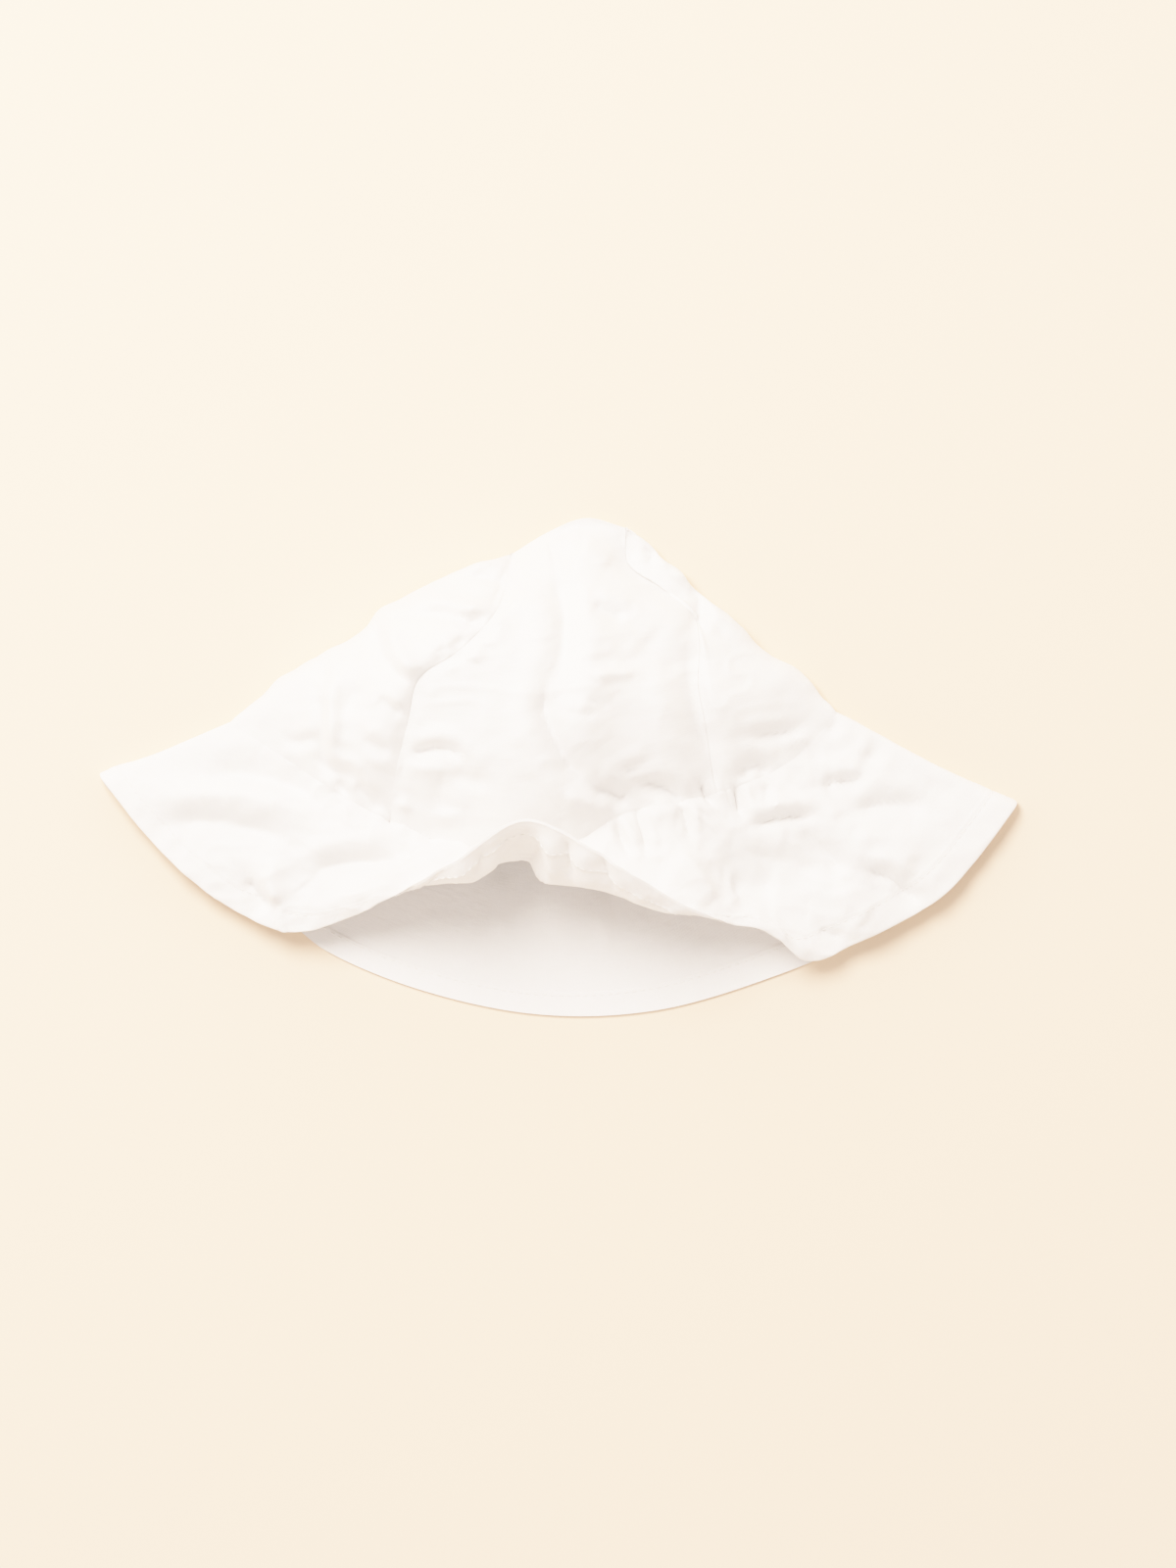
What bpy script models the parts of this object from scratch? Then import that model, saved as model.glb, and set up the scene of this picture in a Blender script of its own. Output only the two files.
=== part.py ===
"""A baby's cotton sun hat, laid on its back: three crown panels and a wide brim.

Metres, +Z up. The hat lies on a level surface at z = 0, its crown to +Y and its
opening to -Y. The upper layer is the front of the hat, and its brim stands up
and rolls back in the middle. The under layer, the back of the hat, lies flat.
"""

import math

import bpy
from mathutils import Matrix, Vector

# The hat's own sizes
HALF_GIRTH = 0.1143      # half the crown's edge, laid flat from side crease to side crease
CROWN_RISE = 0.0751      # from the side creases up to the top of the crown
FRONT_DROP = 0.0525      # how far the front seam sags below the side creases
BACK_DROP = 0.0580       # how far the back seam sags below them
BRIM_WIDTH = 0.0600      # from the seam to the outer edge
HEM_WIDTH = 0.0095       # turned edge of the brim
CLOTH = 0.0012           # thickness of a panel
HEM_CLOTH = 0.0019       # thickness of the turned edge
FOLD_RISE = 0.0056       # height of the two layers at a side crease
SEAM_LIFT = 0.0245       # height of the front seam above that, in the middle
PEAK_LIFT = 0.0650       # height of the brim's edge above it, where it rolls back
CROWN_LOFT = 0.0410      # height of the crown's upper layer above it, along the panel seams
PANEL_PUFF = 0.0080      # extra height in the middle of a panel
DENT = 0.0040            # depth of the main creases
SEAM_GAP = 0.0012        # between two pieces at a seam

# How finely the sheets are divided
CENTRE_COLUMNS = 12
CENTRE_ROWS = 18
SIDE_COLUMNS = 10
SIDE_ROWS = 14
BRIM_ROWS = 6
HEM_ROWS = 2
STATION_STEPS = 4
FOLD_STEPS = 2

# The upper layer of the brim, from the left crease to the right one. seam_x and
# seam_y are shares of HALF_GIRTH and FRONT_DROP, seam_z of SEAM_LIFT, edge_z of
# PEAK_LIFT, and the rest of BRIM_WIDTH. out is the way from the seam to the
# edge, roll pushes the middle of the brim to the front, and bow lifts it.
FRONT_STATIONS = (
    # seam_x, seam_y, seam_z, out_x, out_y, edge_z, roll, bow
    (-1.000, -0.035, 0.00, -0.81, -0.35, 0.00, 0.00, 0.00),
    (-0.845, -0.250, 0.20, -0.73, -0.62, 0.04, 0.00, 0.05),
    (-0.700, -0.463, 0.42, -0.54, -0.81, 0.07, 0.00, 0.08),
    (-0.586, -0.610, 0.56, -0.40, -0.81, 0.11, 0.00, 0.11),
    (-0.470, -0.733, 0.68, -0.20, -0.59, 0.28, 0.06, 0.14),
    (-0.245, -0.904, 0.86, -0.07, -0.13, 0.82, 0.32, -0.04),
    (-0.035, -1.000, 1.00, 0.02, 0.25, 1.00, 0.51, -0.26),
    (0.143, -0.880, 1.00, 0.22, -0.12, 0.88, 0.46, -0.12),
    (0.304, -0.680, 0.90, 0.35, -0.56, 0.54, 0.50, 0.06),
    (0.500, -0.590, 0.70, 0.50, -0.85, 0.20, 0.05, 0.08),
    (0.596, -0.545, 0.56, 0.59, -1.05, 0.08, 0.00, 0.07),
    (0.693, -0.477, 0.40, 0.73, -0.99, 0.07, 0.00, 0.06),
    (0.855, -0.300, 0.18, 0.96, -0.84, 0.04, 0.00, 0.04),
    (1.000, 0.035, 0.00, 1.12, -0.60, 0.00, 0.00, 0.00),
)
LEFT_SEAM_STATION = 4
RIGHT_SEAM_STATION = 10

# The under layer of the brim, from the right crease to the left one, flat on
# the surface. seam_x and seam_y are shares of HALF_GIRTH and BACK_DROP, out_x
# and out_y of BRIM_WIDTH.
BACK_STATIONS = (
    # seam_x, seam_y, out_x, out_y
    (0.840, -0.270, 0.92, -0.80),
    (0.700, -0.480, 0.67, -0.95),
    (0.560, -0.640, 0.44, -1.01),
    (0.300, -0.880, 0.20, -0.99),
    (0.040, -1.000, -0.04, -0.90),
    (-0.220, -0.930, -0.30, -0.81),
    (-0.460, -0.760, -0.43, -0.73),
    (-0.590, -0.630, -0.39, -0.70),
    (-0.720, -0.470, -0.52, -0.64),
    (-0.850, -0.270, -0.67, -0.53),
)
RIGHT_BACK_SEAM_STATION = 2
LEFT_BACK_SEAM_STATION = 6

# Lines that run up the crown between the seam and the top line's ends. x is a
# share of HALF_GIRTH, y of CROWN_RISE and z of CROWN_LOFT.
LEFT_CREASE = (
    # x, y, z
    (-0.905, 0.103, 0.0), (-0.783, 0.262, 0.0), (-0.602, 0.389, 0.0),
    (-0.499, 0.547, 0.0), (-0.227, 0.744, 0.0),
)
RIGHT_CREASE = (
    # x, y, z
    (0.890, 0.215, 0.0), (0.775, 0.325, 0.0), (0.690, 0.440, 0.0),
    (0.600, 0.560, 0.0), (0.498, 0.705, 0.0), (0.389, 0.850, 0.0),
)
LEFT_SEAM = (
    # x, y, z
    (-0.447, -0.281, 0.74), (-0.404, -0.010, 0.92), (-0.369, 0.187, 1.00),
    (-0.246, 0.320, 0.98), (-0.123, 0.517, 0.78),
)
RIGHT_SEAM = (
    # x, y, z
    (0.563, -0.034, 0.68), (0.540, 0.163, 0.76), (0.545, 0.360, 0.58),
    (0.520, 0.540, 0.30), (0.415, 0.655, 0.15), (0.312, 0.770, 0.06),
)
LEFT_BACK_SEAM = (
    # x, y, z
    (-0.400, -0.100, 0.0), (-0.270, 0.310, 0.0), (-0.100, 0.620, 0.0),
)
RIGHT_BACK_SEAM = (
    # x, y, z
    (0.550, 0.000, 0.0), (0.460, 0.400, 0.0), (0.340, 0.710, 0.0),
)
# The fold over the top of the crown, from the left seam to the right one
TOP_LINE = (
    # x, y, z
    (-0.068, 0.823, 0.0), (0.045, 0.927, 0.0), (0.175, 1.000, 0.0), (0.304, 0.951, 0.0),
)

# The main creases of the upper layer: each runs from one point to another. x is
# a share of HALF_GIRTH, y of CROWN_RISE, width of BRIM_WIDTH and depth of DENT.
CREASES = (
    # from_x, from_y, to_x, to_y, width, depth
    (0.085, 0.700, 0.070, 0.250, 0.12, -1.0),
    (0.070, 0.250, 0.040, 0.000, 0.12, -1.0),
    (0.040, 0.000, 0.130, -0.300, 0.12, -1.1),
    (-0.690, 0.100, -0.680, -0.250, 0.09, -1.0),
    (-0.480, 0.540, -0.370, 0.210, 0.09, -0.9),
    (-0.170, 0.450, -0.250, 0.340, 0.07, -0.9),
    (-0.400, -0.170, -0.260, -0.170, 0.08, -0.8),
    (0.600, 0.000, 0.740, -0.010, 0.08, -0.8),
    (0.740, -0.540, 0.920, -0.500, 0.08, -0.9),
    (0.930, -0.540, 1.280, -0.900, 0.10, -0.7),
    (-1.200, -0.300, -0.600, -0.500, 0.16, 0.8),
    (0.480, -0.700, 0.600, -0.920, 0.12, 0.8),
)

# Where the cloth goes round a side crease: two points, as shares of FOLD_RISE
FOLD_LOW = (0.08, 0.38)
FOLD_FLAT = (0.55, 0.0)

# How near the end of a side panel its rows go, as a share of the way up
PANEL_END = 0.89
# A panel puffs up fully where it is this share of HALF_GIRTH wide
FULL_PUFF_WIDTH = 0.5

WHITE = (0.86, 0.85, 0.84, 1.0)


def mix(a, b, share):
    """The point that lies this share of the way from a to b."""
    return a.lerp(b, share)


def spline_point(before, start, end, after, share):
    """A point on the smooth curve through four points, between the middle two."""
    points = (before, start, end, after)
    knots = [0.0]
    for k in range(3):
        knots.append(knots[-1] + max(math.sqrt((points[k + 1] - points[k]).length), 1e-4))
    at = knots[1] + (knots[2] - knots[1]) * share
    near = [mix(points[k], points[k + 1], (at - knots[k]) / (knots[k + 1] - knots[k])) for k in range(3)]
    wide = [mix(near[k], near[k + 1], (at - knots[k]) / (knots[k + 2] - knots[k])) for k in range(2)]
    return mix(wide[0], wide[1], share)


def along(points, share):
    """A point on the smooth open curve through the points, at a share of its spans."""
    spans = len(points) - 1
    place = share * spans
    k = min(max(int(place), 0), spans - 1)
    before = points[k - 1] if k else points[0] * 2 - points[1]
    after = points[k + 2] if k + 2 <= spans else points[-1] * 2 - points[-2]
    return spline_point(before, points[k], points[k + 1], after, place - k)


def around(ring, place):
    """A point on the smooth closed curve through the ring's points."""
    k = int(math.floor(place))
    points = [ring[(k + step) % len(ring)] for step in (-1, 0, 1, 2)]
    return spline_point(*points, place - k)


def crown_points(rows):
    """A table of crown shares as real points."""
    return [Vector((x * HALF_GIRTH, y * CROWN_RISE, FOLD_RISE + z * CROWN_LOFT)) for x, y, z in rows]


def crease_height(point):
    """How much the main creases lift or lower the upper layer here."""
    total = 0.0
    for from_x, from_y, to_x, to_y, width, depth in CREASES:
        start = Vector((from_x * HALF_GIRTH, from_y * CROWN_RISE))
        way = Vector((to_x * HALF_GIRTH, to_y * CROWN_RISE)) - start
        here = Vector((point.x, point.y)) - start
        share = min(max(here.dot(way) / way.length_squared, 0.0), 1.0)
        away = (here - way * share).length / (width * BRIM_WIDTH)
        total += depth * DENT * math.exp(-away * away)
    return total


def creased(point):
    """The point moved by the creases, which fade out near the layer below."""
    spare = max(point.z - FOLD_RISE, 0.0)
    fade = spare / (spare + 2 * DENT)
    return Vector((point.x, point.y, max(point.z + crease_height(point) * fade, FOLD_RISE)))


def front_brim_point(row, share):
    """A point of the upper brim, at a share of the way from the seam to the edge."""
    seam_x, seam_y, seam_z, out_x, out_y, edge_z, roll, bow = row
    seam = Vector((seam_x * HALF_GIRTH, seam_y * FRONT_DROP, FOLD_RISE + seam_z * SEAM_LIFT))
    edge = seam + Vector((out_x * BRIM_WIDTH, out_y * BRIM_WIDTH, 0.0))
    edge.z = FOLD_RISE + edge_z * PEAK_LIFT
    turn = mix(seam, edge, 0.5) + Vector((0.0, -roll * BRIM_WIDTH, bow * BRIM_WIDTH))
    return mix(mix(seam, turn, share), mix(turn, edge, share), share)


def back_brim_point(row, share):
    """A point of the under brim, which lies flat."""
    seam_x, seam_y, out_x, out_y = row
    seam = Vector((seam_x * HALF_GIRTH, seam_y * BACK_DROP, 0.0))
    return seam + Vector((out_x, out_y, 0.0)) * (BRIM_WIDTH * share)


def side_way(line, turn):
    """The level direction away from the hat beside a line, turned +1 left or -1 right."""
    way = line[1] - line[0]
    return Vector((-way.y * turn, way.x * turn, 0.0)).normalized()


def turned_under(crease, outward, room=1.0):
    """Two points that take the cloth round a crease to the under layer."""
    turned = []
    for inset, height in (FOLD_LOW, FOLD_FLAT):
        point = crease - outward * (inset * FOLD_RISE * room)
        turned.append(Vector((point.x, point.y, height * FOLD_RISE)))
    return turned


def seam_side_ways():
    """The way off the hat at the left and right ends of the seam, shared by crown and brim."""
    ways = []
    for k, table, turn in ((0, LEFT_CREASE, 1), (-1, RIGHT_CREASE, -1)):
        seam = front_brim_point(FRONT_STATIONS[k], 0.0)
        edge = front_brim_point(FRONT_STATIONS[k], 1.0)
        upward = side_way((seam, crown_points(table)[0]), turn)
        ways.append((upward + side_way((seam, edge), -turn)).normalized())
    return ways


def brim_ring(share):
    """The brim's stations at one share of its width, all the way round."""
    front = [front_brim_point(row, share) for row in FRONT_STATIONS]
    back = [back_brim_point(row, share) for row in BACK_STATIONS]
    turns = []
    for k, turn, seam_way in zip((0, -1), (-1, 1), seam_side_ways()):
        seam_and_edge = [front_brim_point(FRONT_STATIONS[k], end) for end in (0.0, 1.0)]
        edge_way = side_way(seam_and_edge, turn)
        turns.append(turned_under(front[k], mix(seam_way, edge_way, share).normalized()))
    return front + turns[1] + back + turns[0][::-1]


# Places of the seam's marks in the ring of stations
RIGHT_END = len(FRONT_STATIONS) - 1
RIGHT_FLAT = RIGHT_END + 2
RIGHT_BACK = RIGHT_END + 3 + RIGHT_BACK_SEAM_STATION
LEFT_BACK = RIGHT_END + 3 + LEFT_BACK_SEAM_STATION
LEFT_FLAT = RIGHT_END + 3 + len(BACK_STATIONS)


def patch(bottom, left, right, top, u, v):
    """A point of the sheet that is stretched between four edges."""
    across = mix(bottom(u), top(u), v)
    up = mix(left(v), right(v), u)
    corners = mix(mix(bottom(0), bottom(1), u), mix(top(0), top(1), u), v)
    return across + up - corners


def puffed(edges, u, v):
    """A point of a panel's upper layer, lifted in the middle of the panel and creased."""
    point = patch(*edges, u, v)
    wide = min(1.0, (edges[1](v) - edges[2](v)).length / (FULL_PUFF_WIDTH * HALF_GIRTH))
    lift = 4 * u * (1 - u) * math.sin(math.pi * v) * wide * wide
    return creased(point + Vector((0, 0, PANEL_PUFF * lift)))


class Crown:
    """The edges that the three panels share."""

    def __init__(self):
        self.seam = brim_ring(0.0)
        self.top = crown_points(TOP_LINE)
        self.ways = seam_side_ways()
        first, last = self.top[:1], self.top[-1:]
        self.creases = (
            self.seam[:1] + crown_points(LEFT_CREASE) + first,
            [self.seam[RIGHT_END]] + crown_points(RIGHT_CREASE) + last,
        )
        self.seams = (
            [self.seam[LEFT_SEAM_STATION]] + crown_points(LEFT_SEAM) + first,
            [self.seam[RIGHT_SEAM_STATION]] + crown_points(RIGHT_SEAM) + last,
        )
        self.back_seams = (
            [self.seam[LEFT_BACK]] + crown_points(LEFT_BACK_SEAM) + [self.top_turn(0.0)[1]],
            [self.seam[RIGHT_BACK]] + crown_points(RIGHT_BACK_SEAM) + [self.top_turn(1.0)[1]],
        )

    def stretch(self, start, end):
        """Part of the seam between crown and brim, as a curve from 0 to 1."""
        return lambda u: around(self.seam, start + (end - start) * u)

    def top_turn(self, u):
        """The two points that take the cloth over the top of the crown."""
        ends = (along(self.top, u - 0.05), along(self.top, u + 0.05))
        return turned_under(along(self.top, u), side_way(ends, 1))

    def crease_turn(self, side, v):
        """The crease's own point and the two that take the cloth under it."""
        line = self.creases[side]
        here = along(line, v)
        ends = (along(line, v - 0.02), along(line, v + 0.02))
        own = side_way(ends, (1, -1)[side])
        outward = mix(self.ways[side], own, min(1.0, v * 5)).normalized()
        wide = min((here - along(line, v)).length for line in (self.seams[side], self.back_seams[side]))
        return [here] + turned_under(here, outward, min(1.0, wide / (2 * FOLD_RISE)))


def sheet_object(name, rows, closed, collection):
    """An open sheet from rows of points, shaded smooth, in white cotton."""
    wide = len(rows[0])
    last = wide if closed else wide - 1
    faces = [
        (r * wide + c, r * wide + (c + 1) % wide, (r + 1) * wide + (c + 1) % wide, (r + 1) * wide + c)
        for r in range(len(rows) - 1)
        for c in range(last)
    ]
    mesh = bpy.data.meshes.new(name)
    mesh.from_pydata([point for row in rows for point in row], [], faces)
    mesh.shade_smooth()
    material = bpy.data.materials.new(name + " cotton")
    material.use_nodes = True
    shader = material.node_tree.nodes["Principled BSDF"]
    shader.inputs["Base Color"].default_value = WHITE
    shader.inputs["Roughness"].default_value = 0.9
    mesh.materials.append(material)
    piece = bpy.data.objects.new(name, mesh)
    collection.objects.link(piece)
    return piece


def thicken(piece, thickness):
    """Give the sheet its wall, on the side that faces into the hat."""
    wall = piece.modifiers.new("wall", "SOLIDIFY")
    wall.thickness = thickness
    wall.offset = -1.0
    return wall


def centre_panel(crown, collection):
    """The strip from the front seam over the top to the back seam."""
    upper = (
        crown.stretch(LEFT_SEAM_STATION, RIGHT_SEAM_STATION),
        lambda v: along(crown.seams[0], v),
        lambda v: along(crown.seams[1], v),
        lambda u: along(crown.top, u),
    )
    under = (
        crown.stretch(LEFT_BACK, RIGHT_BACK),
        lambda v: along(crown.back_seams[0], v),
        lambda v: along(crown.back_seams[1], v),
        lambda u: crown.top_turn(u)[1],
    )
    start = SEAM_GAP / 2 / (CROWN_RISE + FRONT_DROP)
    inset = SEAM_GAP / 2 / (crown.top[-1] - crown.top[0]).length
    columns = [inset + (1 - 2 * inset) * c / CENTRE_COLUMNS for c in range(CENTRE_COLUMNS + 1)]
    steps = [start + (1 - start) * r / CENTRE_ROWS for r in range(CENTRE_ROWS + 1)]
    rows = [[puffed(upper, u, v) for u in columns] for v in steps]
    rows.append([crown.top_turn(u)[0] for u in columns])
    for v in steps[::-1]:
        rows.append([Vector((*patch(*under, u, v).xy, 0.0)) for u in columns])
    thicken(sheet_object("crown_centre_panel", rows, False, collection), CLOTH)


def side_panel(name, crown, side, collection):
    """A gathered side panel, round a side crease from the front seam to the back one."""
    upper_ends = ((0, LEFT_SEAM_STATION), (RIGHT_END, RIGHT_SEAM_STATION))[side]
    under_ends = ((LEFT_FLAT, LEFT_BACK), (RIGHT_FLAT, RIGHT_BACK))[side]
    tip = crown.top[(0, -1)[side]]
    under_tip = crown.back_seams[side][-1]
    upper = (
        crown.stretch(*upper_ends),
        lambda v: crown.crease_turn(side, v)[0],
        lambda v: along(crown.seams[side], v),
        lambda u: tip,
    )
    under = (
        crown.stretch(*under_ends),
        lambda v: crown.crease_turn(side, v)[2],
        lambda v: along(crown.back_seams[side], v),
        lambda u: under_tip,
    )
    start = SEAM_GAP / 2 / (CROWN_RISE + FRONT_DROP)
    rows = []
    for r in range(SIDE_ROWS + 1):
        v = start + (PANEL_END - start) * r / SIDE_ROWS
        end = 1 - SEAM_GAP / 2 / max((upper[1](v) - upper[2](v)).length, 2 * SEAM_GAP)
        columns = [end * c / SIDE_COLUMNS for c in range(SIDE_COLUMNS + 1)]
        row = [puffed(upper, u, v) for u in columns[::-1]]
        row.append(crown.crease_turn(side, v)[1])
        row += [Vector((*patch(*under, u, v).xy, 0.0)) for u in columns]
        rows.append(row[::-1] if side == 0 else row)
    thicken(sheet_object(name, rows, False, collection), CLOTH)


def brim(collection):
    """The brim, all the way round, with its turned edge a little thicker."""
    start = SEAM_GAP / 2 / BRIM_WIDTH
    hem = 1 - HEM_WIDTH / BRIM_WIDTH
    step = (HEM_CLOTH - CLOTH) / BRIM_WIDTH
    shares = [start + (hem - step - start) * r / BRIM_ROWS for r in range(BRIM_ROWS + 1)]
    shares += [hem + (1 - hem) * r / HEM_ROWS for r in range(HEM_ROWS + 1)]
    rows = []
    for share in shares[::-1]:
        ring = brim_ring(share)
        row = []
        for k in range(len(ring)):
            turning = RIGHT_END <= k < RIGHT_FLAT or k >= LEFT_FLAT
            steps = FOLD_STEPS if turning else STATION_STEPS
            points = [around(ring, k + n / steps) for n in range(steps)]
            if k < RIGHT_END:
                row += [creased(point) for point in points]
            else:
                row += [Vector((point.x, point.y, max(point.z, 0.0))) for point in points]
        rows.append(row)
    piece = sheet_object("brim", rows, True, collection)
    turned = piece.vertex_groups.new(name="turned edge")
    turned.add(range((HEM_ROWS + 1) * len(rows[0])), 1.0, "REPLACE")
    wall = thicken(piece, HEM_CLOTH)
    wall.vertex_group = turned.name
    wall.thickness_vertex_group = CLOTH / HEM_CLOTH


def centre_on_surface(pieces):
    """Move the hat so that the middle of its box stands on the origin."""
    bpy.context.view_layer.update()
    view = bpy.context.evaluated_depsgraph_get()
    corners = [Vector(corner) for piece in pieces for corner in piece.evaluated_get(view).bound_box]
    low = [min(corner[axis] for corner in corners) for axis in range(3)]
    high = [max(corner[axis] for corner in corners) for axis in range(3)]
    shift = Vector((-(low[0] + high[0]) / 2, -(low[1] + high[1]) / 2, 0.0))
    for piece in pieces:
        piece.data.transform(Matrix.Translation(shift))


def main():
    """Build the hat."""
    for old in list(bpy.data.objects):
        bpy.data.objects.remove(old, do_unlink=True)
    collection = bpy.data.collections.new("baby sun hat")
    bpy.context.scene.collection.children.link(collection)
    crown = Crown()
    centre_panel(crown, collection)
    side_panel("crown_left_panel", crown, 0, collection)
    side_panel("crown_right_panel", crown, 1, collection)
    brim(collection)
    centre_on_surface(list(collection.objects))


main()
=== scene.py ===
"""The finish of a baby's white cotton sun hat, laid on its back on a cream surface.

Each piece is a sheet of cloth, made as rows of points that follow the same lines
as its solid. The folds, gathers and seams are pressed into the rows, and then
the sheet gets its thickness, its weave and its stitches.
"""

import math

import bmesh
import bpy
import numpy as np
from mathutils import Matrix, Vector


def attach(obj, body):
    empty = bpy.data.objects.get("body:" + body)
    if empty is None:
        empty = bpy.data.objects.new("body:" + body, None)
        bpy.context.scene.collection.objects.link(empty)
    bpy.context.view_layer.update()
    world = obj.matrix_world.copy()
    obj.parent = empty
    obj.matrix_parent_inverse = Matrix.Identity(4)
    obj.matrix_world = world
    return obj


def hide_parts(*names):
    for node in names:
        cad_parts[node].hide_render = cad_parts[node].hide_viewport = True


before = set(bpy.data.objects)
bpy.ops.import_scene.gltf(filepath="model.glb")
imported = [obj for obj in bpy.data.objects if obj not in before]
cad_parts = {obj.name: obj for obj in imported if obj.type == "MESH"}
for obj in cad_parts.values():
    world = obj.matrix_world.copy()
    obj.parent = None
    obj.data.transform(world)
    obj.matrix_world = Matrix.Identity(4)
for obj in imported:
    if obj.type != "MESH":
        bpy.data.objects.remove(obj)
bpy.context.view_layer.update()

MM = 0.001

# The hat's sizes, as its solids have them
HALF_GIRTH = 114.3 * MM
CROWN_RISE = 75.1 * MM
FRONT_DROP = 52.5 * MM
BACK_DROP = 58.0 * MM
BRIM_WIDTH = 60.0 * MM
HEM_WIDTH = 9.5 * MM
FOLD_RISE = 5.6 * MM
SEAM_LIFT = 24.5 * MM
PEAK_LIFT = 65.0 * MM
CROWN_LOFT = 41.0 * MM
PANEL_PUFF = 8.0 * MM
FULL_PUFF_WIDTH = 0.5

# The cloth
CLOTH = 0.7 * MM
HEM_CLOTH = 1.0 * MM
SEAM_LAP = 0.5 * MM  # how far the middle panel lies over the side ones
STITCH = 2.3 * MM
STITCH_PITCH = 3.1 * MM
THREAD = 0.42 * MM

# How finely the sheets are divided
GRID = 1.15 * MM
SEAM_STEPS = (0.0, 0.35, 0.8, 1.4, 2.2)  # millimetres from a seam
HEM_STEPS = (  # millimetres from the brim's edge
    0.0, 0.15, 0.4, 0.8, 1.3, 2.0, 3.0, 4.0, 5.0, 6.0, 7.0, 7.6, 8.2, 8.8, 9.3, 9.5, 9.8, 10.4,
)
STITCH_ROW = HEM_STEPS.index(8.2)
STITCH_LINE = HEM_STEPS[STITCH_ROW] * MM
STATION_STEPS = 22
FOLD_STEPS = 5
CREASE_PARTS = (0, 0.25, 0.5, 0.75)  # of a station where the brim goes under
PANEL_RISE = 118 * MM  # about as far as the panels run up
CENTRE_SPAN = 96 * MM  # and as far as they run across
SIDE_SPANS = (66 * MM, 52 * MM)
PANEL_END = 0.995  # just short of a side panel's tip

# The relief of the cloth. A pair is for the left and for the right side.
CENTRE_CRINKLE, BRIM_CRINKLE = 0.9 * MM, 1.0 * MM
SIDE_CRINKLES = (1.3 * MM, 1.0 * MM)
SIDE_PUFFS = (6.0 * MM, 7.0 * MM)  # more than the solids' own puff
SIDE_SOFTENING = (2, 0)  # passes
SEAM_GATHERS = 0.5 * MM  # where a seam runs up the crown
SEAM_GATHER_PITCHES = (8 * MM, 9 * MM)
SIDE_GATHER_REACHES = (12 * MM, 9 * MM)  # on the gathered side of the seam
CENTRE_GATHER_REACH = 4 * MM
CROWN_GATHERS, BRIM_GATHERS = 0.8 * MM, 0.5 * MM  # beside the front seam
FRONT_GATHER_PITCH = 7.5 * MM
FRONT_GROOVE = (1.2 * MM, 0.15 * MM)  # width and depth
SEAM_GROOVE_WIDTHS = (6 * MM, 8 * MM)
SEAM_GROOVE_DEPTH = 1.8 * MM
WOBBLE, WOBBLE_LENGTH = 1.2 * MM, 8 * MM  # of the side creases
KEPT_AT_SEAM = 0.15  # share of a fold's height at a panel seam
TURNED_STEP = 0.15 * MM  # where the turned edge ends
HEM_PUCKER = 0.8 * MM
STITCH_GROOVE = (0.7 * MM, 0.22 * MM)  # width and depth
EDGE_ROUNDING = (1.3 * MM, 0.6 * MM)  # width and height
EDGE_WAVE = 0.9 * MM
EDGE_LIFT, EDGE_LIFT_CHANGE = 2.6 * MM, 1.6 * MM  # of the under brim

# Which chance pattern each kind of relief takes
FRONT_SEAM_PATTERN = 11
SIDE_SEAM_PATTERNS = (21, 22)

# The upper layer of the brim, from the left crease to the right one. seam_x and
# seam_y are shares of HALF_GIRTH and FRONT_DROP, seam_z of SEAM_LIFT, edge_z of
# PEAK_LIFT, and the rest of BRIM_WIDTH. out is the way from the seam to the
# edge, roll pushes the middle of the brim to the front, and bow lifts it.
FRONT_STATIONS = (
    # seam_x, seam_y, seam_z, out_x, out_y, edge_z, roll, bow
    (-1.000, -0.035, 0.00, -0.81, -0.35, 0.00, 0.00, 0.00),
    (-0.845, -0.250, 0.20, -0.73, -0.62, 0.04, 0.00, 0.05),
    (-0.700, -0.463, 0.42, -0.54, -0.81, 0.07, 0.00, 0.08),
    (-0.586, -0.610, 0.56, -0.40, -0.81, 0.11, 0.00, 0.11),
    (-0.470, -0.733, 0.68, -0.20, -0.59, 0.28, 0.06, 0.14),
    (-0.245, -0.904, 0.86, -0.07, -0.13, 0.82, 0.32, -0.04),
    (-0.035, -1.000, 1.00, 0.02, 0.25, 1.00, 0.51, -0.26),
    (0.143, -0.880, 1.00, 0.22, -0.12, 0.88, 0.46, -0.12),
    (0.304, -0.680, 0.90, 0.35, -0.56, 0.54, 0.50, 0.06),
    (0.500, -0.590, 0.70, 0.50, -0.85, 0.20, 0.05, 0.08),
    (0.596, -0.545, 0.56, 0.59, -1.05, 0.08, 0.00, 0.07),
    (0.693, -0.477, 0.40, 0.73, -0.99, 0.07, 0.00, 0.06),
    (0.855, -0.300, 0.18, 0.96, -0.84, 0.04, 0.00, 0.04),
    (1.000, 0.035, 0.00, 1.12, -0.60, 0.00, 0.00, 0.00),
)
LEFT_SEAM_STATION = 4
RIGHT_SEAM_STATION = 10

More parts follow.
